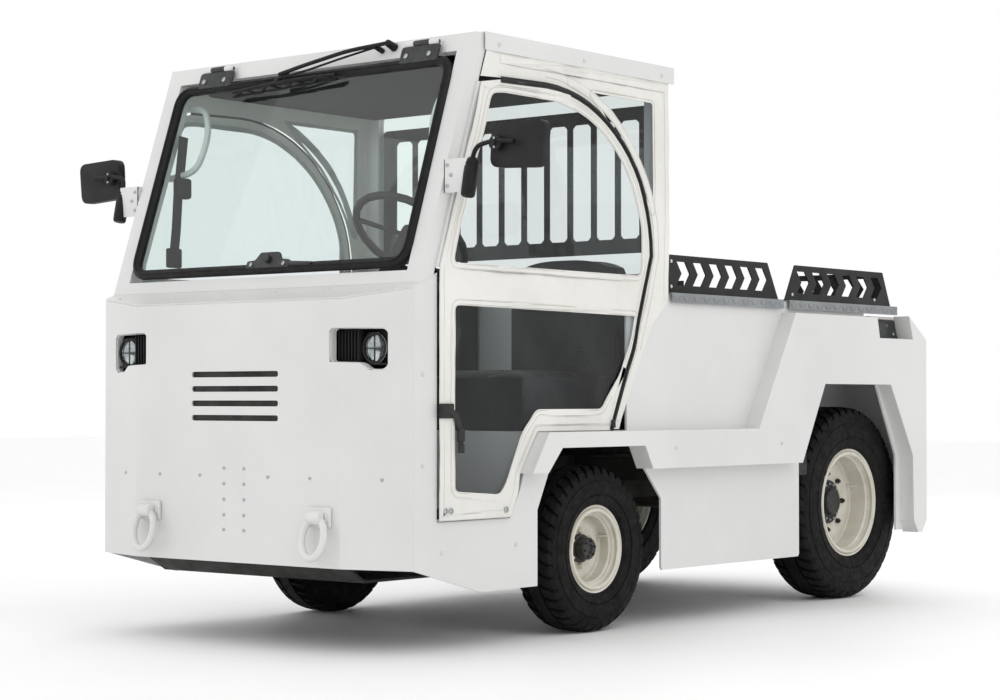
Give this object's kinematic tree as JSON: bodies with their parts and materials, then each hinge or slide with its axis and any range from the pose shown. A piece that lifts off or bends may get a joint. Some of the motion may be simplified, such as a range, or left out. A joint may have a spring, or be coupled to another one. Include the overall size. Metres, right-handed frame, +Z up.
{
  "type": "airport baggage tug",
  "caption": "Airport baggage tug with a sheet-steel body, soft-door cab, slotted rails on its lidded rear deck, front tow rings and a rear hitch.",
  "frame": {"origin": "on the ground under the middle of the tug", "axes": "+Z up, -Y towards the nose, +X towards the tug's own left side, where the driver sits"},
  "size_m": [2.05, 3.2146, 1.8755],
  "materials": {
    "white_paint": "satin powder coat",
    "black_paint": "satin powder coat",
    "frame_paint": "matt chassis paint",
    "rim_paint": "gloss enamel",
    "tyre_rubber": "matt",
    "canvas": "vinyl-coated cloth",
    "clear_vinyl": "clear flexible sheet",
    "glass": "clear",
    "seal_rubber": "matt",
    "checker_plate": "raised tread pattern",
    "seat_vinyl": "grained vinyl",
    "cab_plastic": "grained",
    "lamp": "clear lens over a bright bowl",
    "lamp_red": "red lens",
    "iron": "as cast, painted dark"
  },
  "bodies": {
    "chassis": {"nose_panel": "white_paint", "cowl": "white_paint", "body_side_left": "white_paint", "body_side_right": "white_paint", "rear_wall": "white_paint", "roof": "white_paint", "cab_frame": "white_paint", "tow_ring_left": "white_paint", "tow_ring_right": "white_paint", "tail_lamp_left": "lamp_red", "tail_lamp_right": "lamp_red", "headlamps": "lamp", "engine_block": "iron", "front_axle": "iron", "rear_axle": "iron", "cab_floor": "frame_paint", "chassis_frame": "frame_paint", "skid_plate": "frame_paint", "deck_hoop": "frame_paint", "rear_hitch": "frame_paint", "rear_window": "glass", "windscreen": "glass", "windscreen_frame": "seal_rubber", "rear_guard": "black_paint", "quarter_curtain_left": "canvas", "quarter_curtain_right": "canvas", "quarter_window_left": "clear_vinyl", "quarter_window_right": "clear_vinyl", "driver_seat_cushion": "seat_vinyl", "driver_seat_back": "seat_vinyl", "passenger_seat_cushion": "seat_vinyl", "passenger_seat_back": "seat_vinyl", "dashboard": "cab_plastic", "mirror_left": "black_paint", "mirror_right": "black_paint"},
    "steering_wheel": {"steering_wheel": "cab_plastic"},
    "knuckle_left": {"knuckle_left": "iron"},
    "knuckle_right": {"knuckle_right": "iron"},
    "left_door": {"left_door": "canvas", "left_door_window": "clear_vinyl"},
    "right_door": {"right_door": "canvas", "right_door_window": "clear_vinyl"},
    "front_deck_lid": {"front_deck_lid": "checker_plate", "front_rail_left": "black_paint", "front_rail_right": "black_paint"},
    "rear_deck_lid": {"rear_deck_lid": "checker_plate", "rear_rail_left": "black_paint", "rear_rail_right": "black_paint"},
    "front_left_wheel": {"front_left_tyre": "tyre_rubber", "front_left_rim": "rim_paint"},
    "front_right_wheel": {"front_right_tyre": "tyre_rubber", "front_right_rim": "rim_paint"},
    "rear_left_wheel": {"rear_left_tyre": "tyre_rubber", "rear_left_rim": "rim_paint"},
    "rear_right_wheel": {"rear_right_tyre": "tyre_rubber", "rear_right_rim": "rim_paint"}
  },
  "joints": [
    {"name": "steering_wheel_turn", "type": "hinge", "parent": "chassis", "child": "steering_wheel", "pos_m": [0.31, -1.0799, 1.27], "axis": [0, 0.6428, 0.766], "range_deg": [-350, 350]},
    {"name": "kingpin_left", "type": "hinge", "parent": "chassis", "child": "knuckle_left", "pos_m": [0.45, -0.5299, 0.27], "axis": [0, 0, 1], "range_deg": [-35, 35]},
    {"name": "kingpin_right", "type": "hinge", "parent": "chassis", "child": "knuckle_right", "pos_m": [-0.45, -0.5299, 0.27], "axis": [0, 0, 1], "range_deg": [-35, 35]},
    {"name": "front_left_wheel_spin", "type": "hinge", "parent": "knuckle_left", "child": "front_left_wheel", "pos_m": [0.565, -0.5299, 0.27], "axis": [1, 0, 0], "continuous": true},
    {"name": "front_right_wheel_spin", "type": "hinge", "parent": "knuckle_right", "child": "front_right_wheel", "pos_m": [-0.565, -0.5299, 0.27], "axis": [1, 0, 0], "continuous": true},
    {"name": "rear_left_wheel_spin", "type": "hinge", "parent": "chassis", "child": "rear_left_wheel", "pos_m": [0.535, 1.0951, 0.364], "axis": [1, 0, 0], "continuous": true},
    {"name": "rear_right_wheel_spin", "type": "hinge", "parent": "chassis", "child": "rear_right_wheel", "pos_m": [-0.535, 1.0951, 0.364], "axis": [1, 0, 0], "continuous": true},
    {"name": "left_door_hinge", "type": "hinge", "parent": "chassis", "child": "left_door", "pos_m": [0.6845, -1.37037, 1.15], "axis": [0, -0.3173, -0.9483], "range_deg": [0, 75]},
    {"name": "right_door_hinge", "type": "hinge", "parent": "chassis", "child": "right_door", "pos_m": [-0.6845, -1.37037, 1.15], "axis": [0, 0.3173, 0.9483], "range_deg": [0, 75]},
    {"name": "front_lid_hinge", "type": "hinge", "parent": "chassis", "child": "front_deck_lid", "pos_m": [0, 0.5401, 1.0992], "axis": [-1, 0, 0], "range_deg": [0, 60]},
    {"name": "rear_lid_hinge", "type": "hinge", "parent": "chassis", "child": "rear_deck_lid", "pos_m": [0, 0.5401, 1.0992], "axis": [-1, 0, 0], "range_deg": [-60, 0]}
  ],
  "couplings": [
    {"joint": "kingpin_left", "follows": "steering_wheel_turn", "ratio": 0.1},
    {"joint": "kingpin_right", "follows": "steering_wheel_turn", "ratio": 0.1}
  ]
}
